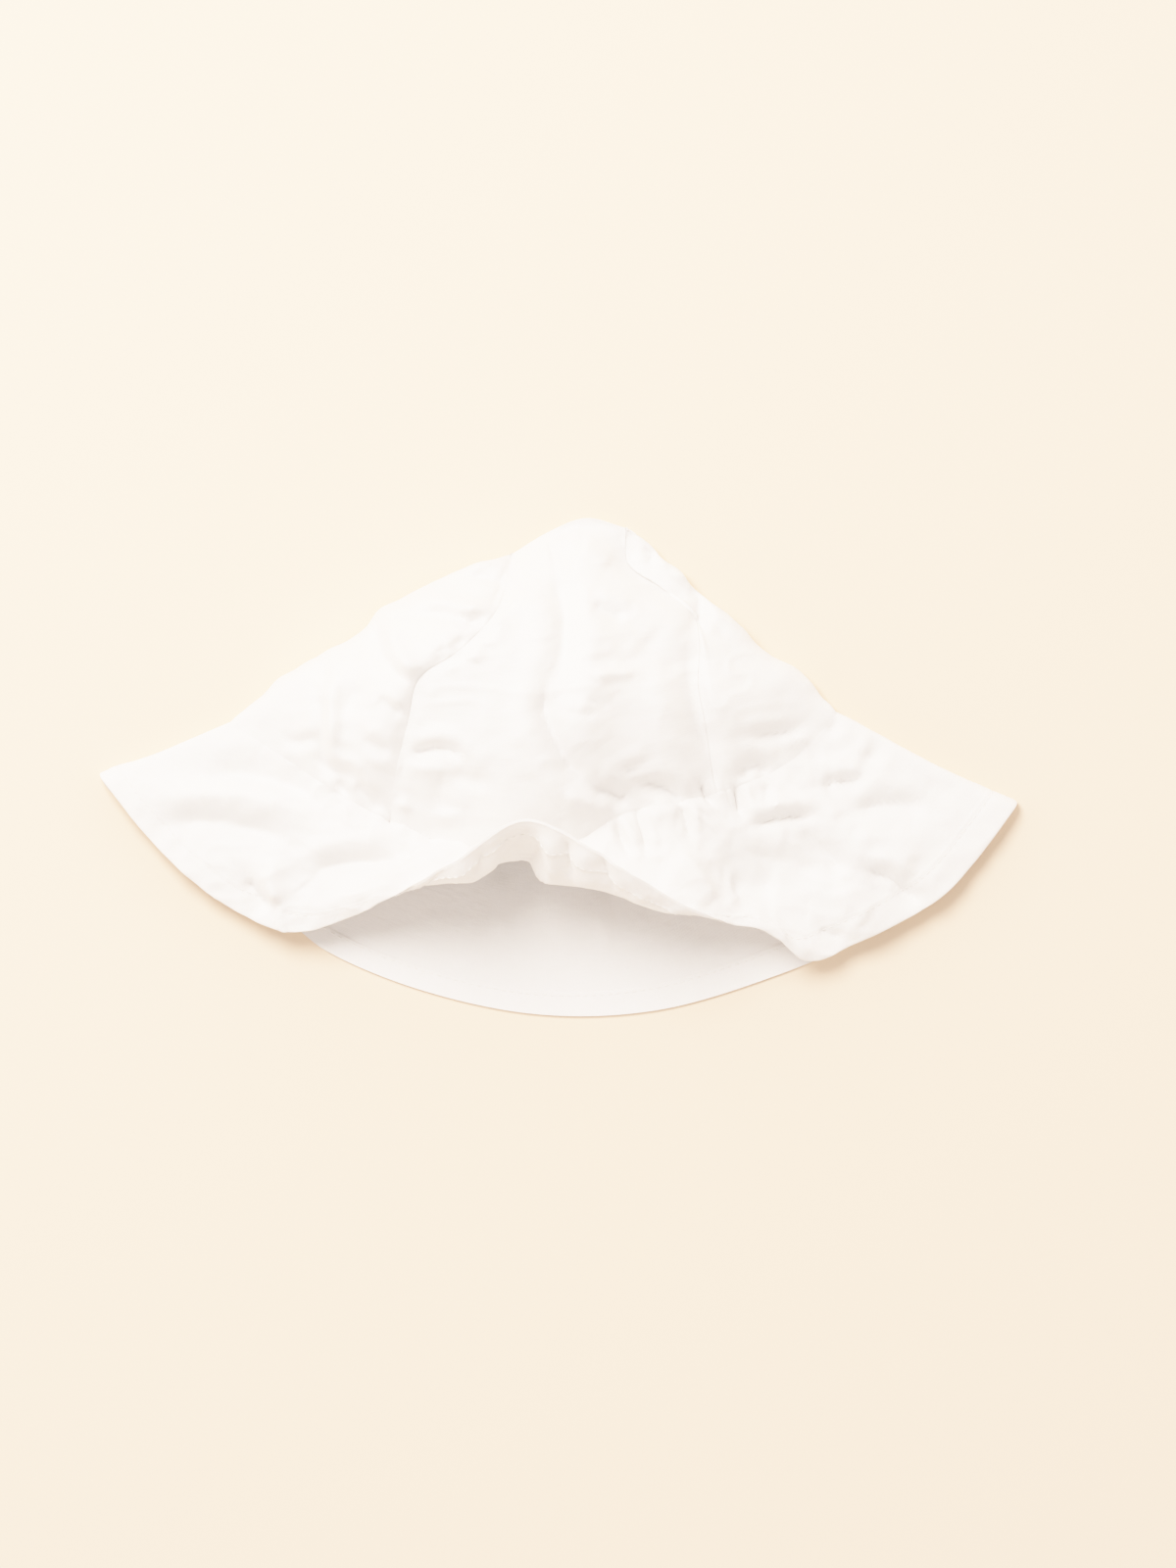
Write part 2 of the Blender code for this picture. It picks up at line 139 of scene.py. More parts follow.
# The under layer of the brim, from the right crease to the left one, flat on
# the surface. seam_x and seam_y are shares of HALF_GIRTH and BACK_DROP, out_x
# and out_y of BRIM_WIDTH.
BACK_STATIONS = (
    # seam_x, seam_y, out_x, out_y
    (0.840, -0.270, 0.92, -0.80),
    (0.700, -0.480, 0.67, -0.95),
    (0.560, -0.640, 0.44, -1.01),
    (0.300, -0.880, 0.20, -0.99),
    (0.040, -1.000, -0.04, -0.90),
    (-0.220, -0.930, -0.30, -0.81),
    (-0.460, -0.760, -0.43, -0.73),
    (-0.590, -0.630, -0.39, -0.70),
    (-0.720, -0.470, -0.52, -0.64),
    (-0.850, -0.270, -0.67, -0.53),
)
RIGHT_BACK_SEAM_STATION = 2
LEFT_BACK_SEAM_STATION = 6

# Lines that run up the crown between the seam and the top line's ends. x is a
# share of HALF_GIRTH, y of CROWN_RISE and z of CROWN_LOFT.
LEFT_CREASE = (
    (-0.905, 0.103, 0.0), (-0.783, 0.262, 0.0), (-0.602, 0.389, 0.0),
    (-0.499, 0.547, 0.0), (-0.227, 0.744, 0.0),
)
RIGHT_CREASE = (
    (0.890, 0.215, 0.0), (0.775, 0.325, 0.0), (0.690, 0.440, 0.0),
    (0.600, 0.560, 0.0), (0.498, 0.705, 0.0), (0.389, 0.850, 0.0),
)
LEFT_SEAM = (
    (-0.447, -0.281, 0.74), (-0.404, -0.010, 0.92), (-0.369, 0.187, 1.00),
    (-0.246, 0.320, 0.98), (-0.123, 0.517, 0.78),
)
RIGHT_SEAM = (
    (0.563, -0.034, 0.64), (0.540, 0.163, 0.66), (0.545, 0.360, 0.48),
    (0.520, 0.540, 0.26), (0.415, 0.655, 0.14), (0.312, 0.770, 0.06),
)
LEFT_BACK_SEAM = (
    (-0.400, -0.100, 0.0), (-0.270, 0.310, 0.0), (-0.100, 0.620, 0.0),
)
RIGHT_BACK_SEAM = (
    (0.550, 0.000, 0.0), (0.460, 0.400, 0.0), (0.340, 0.710, 0.0),
)
# The fold over the top of the crown, from the left seam to the right one
TOP_LINE = (
    (-0.068, 0.823, 0.0), (0.045, 0.927, 0.0), (0.175, 1.000, 0.0), (0.304, 0.951, 0.0),
)

# Where the cloth goes round a side crease: two points, as shares of FOLD_RISE
FOLD_LOW = (0.08, 0.38)
FOLD_FLAT = (0.55, 0.0)

# Folds of the cloth as the photograph shows them. Places are the photograph's
# own pixels, height is up and width across in millimetres. Lean makes the fold
# steeper on the side to the left of its way, or with a minus sign on the right.
PIXEL = 0.37 * MM
PHOTO_MIDDLE = (546, 733)      # the middle between the side creases
FOLDS = (
    # height, width, lean, points along the fold
    # the middle panel's long valley and the puff beside it
    (-6.5, 4.6, -0.2, ((567, 585), (573, 610), (578, 635), (577, 660), (571, 695))),
    (-6.5, 3.7, -0.3, ((562, 696), (557, 722), (562, 745), (574, 770), (590, 794), (606, 803))),
    (4.2, 7.7, 0, ((600, 590), (606, 640), (602, 690), (600, 740), (612, 780))),
    (-5.8, 2.9, 0.3, ((606, 804), (630, 812), (645, 816))),
    (-5.6, 2.9, 0.3, ((645, 798), (672, 802), (690, 811), (704, 820))),
    (-2.8, 2.2, 0, ((634, 788), (650, 783), (667, 779))),
    (4.2, 5.0, 0, ((592, 558), (612, 566), (628, 576))),
    (4.2, 2.6, 0, ((604, 692), (625, 690), (652, 688))),
    (-4.5, 2.9, 0.2, ((604, 618), (622, 626), (642, 634))),
    (-1.8, 2.2, 0, ((598, 716), (612, 719), (624, 721))),
    (-1.8, 2.2, 0, ((580, 727), (596, 731), (612, 731))),
    (-5.2, 8.8, 0, ((655, 650), (680, 675), (692, 695))),
    (-5.2, 4.0, 0, ((562, 545), (590, 537), (620, 536), (634, 543))),
    (4.2, 5.0, 0, ((575, 812), (602, 820), (626, 832))),
    (4.2, 4.4, 0, ((664, 830), (680, 828), (694, 830))),
    # beside the right seam
    (-6.5, 2.4, 0, ((636, 544), (641, 558), (649, 576))),
    (-6.5, 2.2, 0, ((655, 561), (667, 566), (663, 578))),
    (-6.3, 3.0, 0, ((702, 601), (715, 612), (714, 628), (707, 640))),
    (-4.3, 5.6, -0.35, ((704, 645), (703, 672), (704, 700), (709, 725), (714, 748), (724, 768), (732, 788))),
    (3.3, 5.0, 0, ((662, 572), (684, 577), (702, 592), (722, 612), (742, 634), (764, 656))),
    # the right panel
    (-3.6, 2.6, 0.2, ((760, 754), (782, 750), (806, 749), (824, 746))),
    (3.9, 2.8, 0, ((796, 758), (812, 756), (828, 753))),
    (-4.7, 3.2, 0, ((753, 798), (762, 786), (775, 783), (789, 789))),
    (-6.5, 2.4, 0, ((859, 724), (854, 737), (847, 750))),
    # the left panel
    (4.2, 2.6, 0, ((474, 583), (492, 575), (510, 571), (524, 573))),
    (-6.5, 2.2, 0, ((482, 588), (497, 591), (509, 594), (522, 592))),
    (-5.0, 2.8, 0, ((522, 594), (514, 606), (506, 620))),
    (4.2, 3.4, 0, ((430, 616), (450, 614), (474, 620), (498, 622))),
    (-6.5, 2.4, 0, ((428, 628), (446, 629), (466, 632), (482, 636), (496, 638))),
    (-5.5, 3.2, 0, ((478, 640), (493, 641), (486, 652))),
    (-6.5, 3.0, 0, ((474, 652), (473, 662), (469, 672))),
    (-4.0, 2.0, 0, ((450, 662), (456, 672), (450, 682))),
    (4.2, 4.6, 0, ((402, 624), (404, 650), (414, 672), (434, 690))),
    (-6.5, 2.7, 0, ((387, 634), (389, 658), (397, 676), (409, 690), (427, 702))),
    (4.0, 3.6, 0, ((346, 676), (342, 700), (342, 730), (342, 770))),
    (-6.0, 2.2, 0, ((331, 706), (332, 730), (331, 754), (331, 772), (335, 790))),
    (-5.0, 2.2, 0.3, ((333, 778), (346, 786), (358, 790), (368, 799))),
    (-4.0, 2.1, 0, ((298, 758), (312, 758), (328, 753))),
    (3.5, 3.1, 0, ((300, 692), (314, 684), (326, 680))),
    (-4.5, 2.6, 0, ((328, 678), (336, 690), (344, 698))),
    (-4.5, 4.0, 0, ((358, 728), (364, 714), (376, 704))),
    (-4.0, 2.1, 0.3, ((390, 711), (403, 722), (416, 731))),
    (-4.0, 2.3, 0.3, ((372, 755), (388, 761), (405, 768))),
    (-4.0, 1.6, 0, ((422, 728), (421, 738), (416, 748))),
    (-4.0, 1.6, 0, ((414, 754), (413, 768), (414, 782), (412, 798))),
    (-5.5, 2.3, 0.3, ((420, 771), (435, 767), (450, 764), (464, 766), (478, 778))),
    (3.0, 2.9, 0, ((424, 784), (442, 784), (462, 788))),
    (-3.5, 4.2, 0.2, ((462, 790), (482, 796), (502, 800))),
    (-3.5, 4.0, 0, ((458, 792), (453, 806), (450, 822))),
    # gathers along the front seam
    (3.8, 2.2, 0, ((406, 818), (414, 822), (416, 830))),
    (-4.2, 1.7, 0, ((409, 810), (401, 824), (402, 842))),
    (-3.8, 1.9, 0.2, ((364, 799), (380, 812), (396, 826))),
    (-4.9, 1.8, 0, ((347, 798), (353, 804), (358, 812))),
    (2.8, 2.0, 0, ((336, 792), (342, 800), (345, 810))),
    (3.2, 2.0, 0, ((446, 834), (458, 833), (470, 834))),
    (-1.8, 2.2, 0, ((438, 840), (442, 852), (444, 862))),
    (-4.9, 1.7, 0, ((630, 838), (635, 852), (643, 868))),
    (-4.2, 1.6, 0, ((650, 822), (656, 842), (661, 868))),
    (-3.3, 1.7, 0, ((697, 822), (702, 838), (706, 854))),
    (-4.5, 1.8, 0, ((714, 800), (722, 812), (730, 822))),
    (-4.5, 1.7, 0, ((752, 802), (755, 816), (757, 834))),
    (-3.2, 1.7, 0, ((782, 800), (784, 812), (780, 824))),
    # the left brim
    (4.2, 7.2, 0, ((150, 800), (200, 815), (250, 812), (300, 822), (350, 836))),
    (-6.3, 5.0, 0, ((205, 795), (250, 790), (300, 803), (335, 826))),
    (-6.3, 5.5, 0, ((165, 846), (210, 838), (255, 846), (300, 860))),
    (4.2, 4.2, 0.3, ((285, 870), (285, 900), (291, 926))),
    (-6.5, 4.0, 0, ((252, 896), (262, 914), (276, 932))),
    (-6.5, 3.3, 0.4, ((322, 894), (338, 881), (362, 876), (390, 873), (412, 868))),
    (4.2, 5.0, 0, ((330, 926), (400, 903), (450, 877), (490, 854))),
    (-2.4, 2.6, 0, ((412, 860), (418, 868), (416, 876))),
    # the right brim
    (-6.5, 2.6, 0.2, ((764, 843), (790, 837), (815, 833), (838, 834))),
    (-6.0, 4.6, 0.1, ((818, 842), (834, 860), (852, 877), (872, 891))),
    (-5.5, 2.8, 0.3, ((880, 887), (900, 892), (914, 899), (926, 909), (942, 924))),
    (4.2, 12.1, 0, ((868, 846), (900, 862), (940, 884))),
    (4.2, 5.0, 0.3, ((684, 868), (700, 879), (711, 895), (722, 909), (732, 921))),
    (4.2, 6.2, 0, ((750, 935), (790, 953), (815, 968), (834, 970))),
    (4.2, 6.7, 0, ((858, 900), (868, 920), (890, 938))),
    (-2.0, 2.2, 0, ((836, 948), (848, 954), (862, 956))),
    (-5.9, 3.6, 0.3, ((872, 827), (900, 820), (925, 820), (950, 824))),
    (-6.3, 3.4, 0.2, ((838, 801), (860, 797), (884, 797))),
    (4.2, 3.7, 0, ((846, 790), (862, 788), (882, 789))),
    (-5.9, 3.2, 0, ((897, 750), (894, 765), (883, 777))),
    (4.2, 3.2, 0, ((888, 748), (883, 760), (874, 768))),
    (-4.7, 3.4, 0, ((944, 797), (962, 804), (984, 803))),
    (-5.9, 9.6, 0.3, ((738, 853), (765, 870), (800, 880), (846, 892))),
    (-5.7, 7.9, 0, ((750, 902), (775, 902), (800, 905))),
)

# Folds of the rolled brim's inner face, which stands in the opening
ROLL_FOLDS = (
    (2.3, 3.0, 0, ((562, 848), (564, 870), (566, 896))),
    (-1.9, 1.8, 0, ((578, 852), (582, 874), (586, 900))),
    (1.9, 3.0, 0, ((596, 862), (600, 882), (606, 904))),
    (-1.7, 1.8, 0, ((616, 874), (622, 892), (630, 910))),
    (1.5, 3.0, 0, ((640, 886), (648, 902), (656, 920))),
    (1.9, 2.6, 0, ((510, 862), (508, 878), (504, 896))),
    (-1.7, 1.8, 0, ((496, 866), (492, 880), (488, 894))),
    (1.5, 2.6, 0, ((480, 876), (472, 888), (464, 898))),
)

# Folds of the under brim, which shows in the opening
BACK_FOLDS = (
    (2.6, 3.2, 0.4, ((493, 890), (493, 925), (491, 960))),
    (3.2, 4.2, -0.4, ((638, 900), (641, 945), (638, 1000))),
    (3.4, 2.4, 0, ((694, 930), (684, 958), (668, 990))),
    (-2.2, 2.0, 0, ((660, 920), (656, 945), (652, 975))),
    (3.0, 2.6, 0, ((716, 935), (712, 965), (700, 995))),
    (1.2, 6.0, 0, ((400, 940), (450, 985), (520, 1005))),
    (1.2, 5.0, 0, ((540, 950), (560, 985), (600, 1010))),
)

# The deep pleat of the rolled brim: where it starts and ends in the ring of
# stations, soft on the left and sharp on the right, and how far its cloth goes
# back and down at shares of the brim's width
PLEAT_LEFT = (5.2, 5.9)
PLEAT_RIGHT = (6.15, 6.32)
PLEAT = (
    # share, back, down
    (0.0, 2.0, 1.0), (0.2, 6.0, 2.0), (0.35, 9.0, 2.5), (0.5, 10.5, 2.5),
    (0.7, 8.5, 1.5), (0.85, 4.5, 0.5), (0.95, 0.6, 0.0), (1.0, 0.0, 0.0),
)

# Places of the marks in the ring of stations
FRONT_END = len(FRONT_STATIONS) - 1
RIGHT_FLAT = FRONT_END + 2
RIGHT_BACK = FRONT_END + 3 + RIGHT_BACK_SEAM_STATION
LEFT_BACK = FRONT_END + 3 + LEFT_BACK_SEAM_STATION
LEFT_FLAT = FRONT_END + 3 + len(BACK_STATIONS)
RING = LEFT_FLAT + 2


# ---- lines and grids ----------------------------------------------------------


def spline(before, start, end, after, share):
    """A point on the smooth curve through four points, between the middle two."""
    points = (before, start, end, after)
    knots = [0.0]
    for k in range(3):
        knots.append(knots[-1] + max(math.sqrt(math.dist(points[k], points[k + 1])), 1e-4))
    at = knots[1] + (knots[2] - knots[1]) * share
    near = []
    for k in range(3):
        s = (at - knots[k]) / (knots[k + 1] - knots[k])
        near.append(points[k] * (1 - s) + points[k + 1] * s)
    wide = []
    for k in range(2):
        s = (at - knots[k]) / (knots[k + 2] - knots[k])
        wide.append(near[k] * (1 - s) + near[k + 1] * s)
    return wide[0] * (1 - share) + wide[1] * share


def along(points, share):
    """A point on the smooth open curve through the points, at a share of its spans."""
    spans = len(points) - 1
    place = share * spans
    k = min(max(int(place), 0), spans - 1)
    before = points[k - 1] if k else points[0] * 2 - points[1]
    after = points[k + 2] if k + 2 <= spans else points[-1] * 2 - points[-2]
    return spline(before, points[k], points[k + 1], after, place - k)


def around(ring, place):
    """A point on the smooth closed curve through the ring's points."""
    k = int(math.floor(place))
    return spline(*(ring[(k + step) % len(ring)] for step in (-1, 0, 1, 2)), place - k)


def level_unit(way):
    flat = np.array((way[0], way[1], 0.0))
    return flat / max(np.linalg.norm(flat), 1e-9)


def side_way(line, turn):
    """The level direction away from the hat beside a line, turned +1 left or -1 right."""
    way = line[1] - line[0]
    return level_unit((-way[1] * turn, way[0] * turn))


def turned_under(crease, outward, room=1.0):
    """Two points that take the cloth round a crease to the under layer."""
    turned = []
    for inset, height in (FOLD_LOW, FOLD_FLAT):
        point = crease - outward * (inset * FOLD_RISE * room)
        turned.append(np.array((point[0], point[1], height * FOLD_RISE)))
    return turned


def crown_points(rows):
    size = np.array((HALF_GIRTH, CROWN_RISE, CROWN_LOFT))
    return [np.array(row) * size + np.array((0, 0, FOLD_RISE)) for row in rows]


def front_brim_point(row, share):
    """A point of the upper brim, at a share of the way from the seam to the edge."""
    seam_x, seam_y, seam_z, out_x, out_y, edge_z, roll, bow = row
    seam = np.array((seam_x * HALF_GIRTH, seam_y * FRONT_DROP, FOLD_RISE + seam_z * SEAM_LIFT))
    edge = seam + np.array((out_x * BRIM_WIDTH, out_y * BRIM_WIDTH, 0.0))
    edge[2] = FOLD_RISE + edge_z * PEAK_LIFT
    turn = (seam + edge) / 2 + np.array((0.0, -roll * BRIM_WIDTH, bow * BRIM_WIDTH))
    return seam * (1 - share) ** 2 + turn * (2 * share * (1 - share)) + edge * share ** 2


def back_brim_point(row, share):
    """A point of the under brim, which lies flat."""
    seam_x, seam_y, out_x, out_y = row
    seam = np.array((seam_x * HALF_GIRTH, seam_y * BACK_DROP, 0.0))
    return seam + np.array((out_x, out_y, 0.0)) * (BRIM_WIDTH * share)


def seam_side_ways():
    """The way off the hat at the seam's left and right ends, shared by crown and brim."""
    ways = []
    for k, table, turn in ((0, LEFT_CREASE, 1), (-1, RIGHT_CREASE, -1)):
        seam = front_brim_point(FRONT_STATIONS[k], 0.0)
        edge = front_brim_point(FRONT_STATIONS[k], 1.0)
        ways.append(level_unit(side_way((seam, crown_points(table)[0]), turn) + side_way((seam, edge), -turn)))
    return ways


def brim_ring(share):
    """The brim's stations at one share of its width, all the way round."""
    front = [front_brim_point(row, share) for row in FRONT_STATIONS]
    back = [back_brim_point(row, share) for row in BACK_STATIONS]
    turns = []
    for k, turn, seam_way in zip((0, -1), (-1, 1), seam_side_ways()):
        ends = [front_brim_point(FRONT_STATIONS[k], end) for end in (0.0, 1.0)]
        way = level_unit(seam_way * (1 - share) + side_way(ends, turn) * share)
        turns.append(turned_under(front[k], way))
    return front + turns[1] + back + turns[0][::-1]


def lengths(points):
    """How far along the line each of its points is."""
    steps = np.linalg.norm(np.diff(points, axis=0), axis=1)
    return np.concatenate(([0.0], np.cumsum(steps)))


def shares_of(long, fine_start=True, fine_end=True):
    """Shares of a length in even steps, with finer ones beside a seam."""
    start = [x * MM for x in SEAM_STEPS] if fine_start else [0.0]
    end = [long - x * MM for x in SEAM_STEPS][::-1] if fine_end else [long]
    steps = max(int((end[0] - start[-1]) / GRID), 1)
    middle = [start[-1] + (end[0] - start[-1]) * k / steps for k in range(1, steps)]
    return np.array(start + middle + end) / long


def stretched(bottom, left, right, top, u, v):
    """A grid of points stretched between four edges, at shares u across and v up."""
    u, v = u[None, :, None], v[:, None, None]
    grid = bottom[None] * (1 - v) + top[None] * v + left[:, None] * (1 - u) + right[:, None] * u
    grid = grid - (bottom[0] * (1 - u) + bottom[-1] * u) * (1 - v)
    return grid - (top[0] * (1 - u) + top[-1] * u) * v


def normals(grid, closed=False):
    """The outward way at each point of a grid."""
    if closed:
        across = np.roll(grid, -1, axis=1) - np.roll(grid, 1, axis=1)
    else:
        across = np.gradient(grid, axis=1)
    ways = np.cross(across, np.gradient(grid, axis=0))
    return ways / np.maximum(np.linalg.norm(ways, axis=2, keepdims=True), 1e-12)


def smooth_step(low, high, value):
    share = np.clip((value - low) / (high - low), 0, 1)
    return share * share * (3 - 2 * share)


# ---- folds, gathers and puckers -----------------------------------------------


def random_at(*places):
    """A number from 0 to 1 that belongs to a whole-numbered place."""
    mixed = 0.0
    for place, by in zip(places, (12.9898, 78.233, 37.719)):
        mixed = mixed + np.asarray(place, float) * by
    return np.mod(np.sin(mixed) * 43758.5453, 1.0)


def drift(x, y, seed):
    """Smooth noise from -1 to 1 over a plane, one swell to each whole number."""
    left, low = np.floor(x), np.floor(y)
    u, v = x - left, y - low
    u, v = u * u * (3 - 2 * u), v * v * (3 - 2 * v)
    near = random_at(left, low, seed) * (1 - u) + random_at(left + 1, low, seed) * u
    far = random_at(left, low + 1, seed) * (1 - u) + random_at(left + 1, low + 1, seed) * u
    return (near * (1 - v) + far * v) * 2 - 1


SHARP_TOP, ROUND_TOP = 0.35, 0.6


def fold_profile(across, round_top=SHARP_TOP):
    """The section of a fold: a narrow crest with long soft sides."""
    return np.exp(1.7 * (round_top - np.sqrt(across ** 2 + round_top ** 2)))


def fold_height(grid, folds):
    """How much the folds lift each point of the grid, by its place in plan."""
    plan = grid[..., :2] / MM
    pixel = PIXEL / MM
    total = np.zeros(plan.shape[:2])
    for height, width, lean, marks in folds:
        marks = [np.array(((x - PHOTO_MIDDLE[0]) * pixel, (PHOTO_MIDDLE[1] - y) * pixel, 0.0)) for x, y in marks]
        line = np.array([along(marks, s)[:2] for s in np.linspace(0, 1, 5 * len(marks))])
        whole = lengths(line)
        best, side, place = np.full(total.shape, 1e9), np.zeros(total.shape), np.zeros(total.shape)
        for k in range(len(line) - 1):
            way = line[k + 1] - line[k]
            here = plan - line[k]
            share = np.clip(here @ way / (way @ way), 0, 1)
            apart = here - share[..., None] * way
            distance = np.hypot(apart[..., 0], apart[..., 1])
            nearer = distance < best
            side = np.where(nearer, np.sign(way[0] * here[..., 1] - way[1] * here[..., 0]), side)
            place = np.where(nearer, whole[k] + share * (whole[k + 1] - whole[k]), place)
            best = np.where(nearer, distance, best)
        ends = smooth_step(0, 0.25, place / whole[-1]) * smooth_step(0, 0.25, 1 - place / whole[-1])
        across = best / width * (1 + lean * side)
        # a fold draws the cloth beside its steep side the other way
        beside = np.exp(-((side * best / width - (-2.0 if lean < 0 else 2.0)) ** 2) / 1.2)
        crest = fold_profile(across, ROUND_TOP if height > 0 else SHARP_TOP)
        total += height * MM * (0.25 + 0.75 * ends) * (crest - 0.4 * beside)
    return total


def gathers(s, d, reach, pitch, seed):
    """Small pleats that leave a seam. s is along the seam and d away from it."""
    total = np.zeros(np.broadcast(s, d).shape)
    for k in range(int(np.min(s) / pitch) - 1, int(np.max(s) / pitch) + 2):
        pick = [float(random_at(k, seed, n)) for n in range(5)]
        middle = (k + 0.7 * pick[0]) * pitch
        long = reach * (0.35 + 1.2 * pick[1])
        wide = pitch * (0.2 + 0.2 * pick[2])
        skew = (pick[3] - 0.5) * 0.8
        size = (0.3 + pick[4]) * (1 if k % 2 else -0.9)
        across = (s - middle - skew * d) / (wide * (1 + d / (2.5 * reach)))
        total += size * fold_profile(1.2 * across) * np.exp(-(d / long) ** 2)
    return total


def groove(d, width, depth):
    return -depth * np.exp(-((d / width) ** 2))


def crinkle(grid, size, seed):
    """Small soft creases all over the cloth."""
    x, y = grid[..., 0] / MM, grid[..., 1] / MM
    swirl = 3 * drift(x / 23, y / 23, seed)
    first = 1 - np.abs(drift((x + swirl) / 11, (y - swirl) / 7, seed + 1))
    second = drift(x / 5.2, y / 4.1, seed + 2)
    return size * ((first ** 3 - 0.3) + 0.35 * second)


# ---- the crown ------------------------------------------------------------------


class Crown:
    """The lines that the three panels share."""

    def __init__(self):
        self.seam = brim_ring(0.0)
        self.top = crown_points(TOP_LINE)
        self.ways = seam_side_ways()
        seam, first, last = self.seam, self.top[:1], self.top[-1:]
        self.creases = (
            [seam[0]] + crown_points(LEFT_CREASE) + first,
            [seam[FRONT_END]] + crown_points(RIGHT_CREASE) + last,
        )
        self.seams = (
            [seam[LEFT_SEAM_STATION]] + crown_points(LEFT_SEAM) + first,
            [seam[RIGHT_SEAM_STATION]] + crown_points(RIGHT_SEAM) + last,
        )
        self.back_seams = (
            [seam[LEFT_BACK]] + crown_points(LEFT_BACK_SEAM) + [self.top_turn(0.0)[1]],
            [seam[RIGHT_BACK]] + crown_points(RIGHT_BACK_SEAM) + [self.top_turn(1.0)[1]],
        )
        places = np.linspace(0, RING, 40 * RING + 1)
        self.seam_places = places
        self.seam_lengths = lengths(np.array([around(seam, place) for place in places]))

    def stretch(self, start, end, shares):
        """Points along part of the seam between crown and brim, and how far along it they are."""
        places = start + (end - start) * shares
        points = np.array([around(self.seam, place) for place in places])
        return points, np.interp(places, self.seam_places, self.seam_lengths)

    def top_turn(self, u):
        """The two points that take the cloth over the top of the crown."""
        ends = (along(self.top, u - 0.05), along(self.top, u + 0.05))
        return turned_under(along(self.top, u), side_way(ends, 1))

    def crease_turn(self, side, v):
        """The crease's own point and the two that take the cloth under it."""
        line = self.creases[side]
        here = along(line, v)
        own = side_way((along(line, v - 0.02), along(line, v + 0.02)), (1, -1)[side])
        share = min(1.0, v * 5)
        outward = level_unit(self.ways[side] * (1 - share) + own * share)
        wide = min(math.dist(here, along(seam, v)) for seam in (self.seams[side], self.back_seams[side]))
        return [here] + turned_under(here, outward, min(1.0, wide / (2 * FOLD_RISE)))


def line_at(points, shares):
    return np.array([along(points, share) for share in shares])


def round_the_fold(before, turn, after):
    """Points that take the cloth smoothly from the upper layer round to the under one."""
    marks = [before, *turn, after]
    found = []
    for k in (1, 2):
        found += [spline(*marks[k - 1:k + 3], n / FOLD_STEPS) for n in range(1, FOLD_STEPS + 1)]
    return found[:-1]


def puffed(grid, u, v, extra=0.0):
    """The upper layer's grid, lifted in the middle of the panel."""
    wide = np.linalg.norm(grid[:, 0] - grid[:, -1], axis=1)[:, None] / (FULL_PUFF_WIDTH * HALF_GIRTH)
    bell = 4 * u * (1 - u) * np.sin(math.pi * v)[:, None]
    grid[..., 2] += PANEL_PUFF * bell * np.minimum(wide, 1.0) ** 2
    if extra:
        flat_top = (1 - (2 * u - 1) ** 4) * (smooth_step(0, 0.25, v) * smooth_step(0, 0.3, 1 - v))[:, None]
        grid[..., 2] += extra * flat_top * np.minimum(2 * wide, 1.0)
    return grid


def softened(height, passes):
    """The same heights with their sharpest points rounded."""
    for _ in range(passes):
        wide = np.pad(height, 1, mode="edge")
        height = (wide[:-2, 1:-1] + wide[2:, 1:-1] + wide[1:-1, :-2] + wide[1:-1, 2:] + 2 * height) / 6
    return height


def lifted(grid, height):
    """Lift the upper layer, less where it comes near the layer below."""
    spare = np.maximum(grid[..., 2] - FOLD_RISE, 0.0)
    fade = spare / (spare + np.where(height > 0, 1.0 * MM, 2.5 * MM))
    grid[..., 2] = np.maximum(grid[..., 2] + height * fade, 0.8 * FOLD_RISE)
    return grid


def under_lift(grid, size, seed):
    """Soft swells of the layer that lies on the surface."""
    x, y = grid[..., 0] / MM, grid[..., 1] / MM
    return size * np.maximum(drift(x / 26, y / 19, seed) + 0.5 * drift(x / 11, y / 9, seed + 1), 0.0)


def joined(grid, edge, d, reach=5 * MM):
    """Move the grid so that its first row or column, where d is zero, lies on the edge."""
    return grid + edge * np.exp(-((d / reach) ** 2))[..., None]


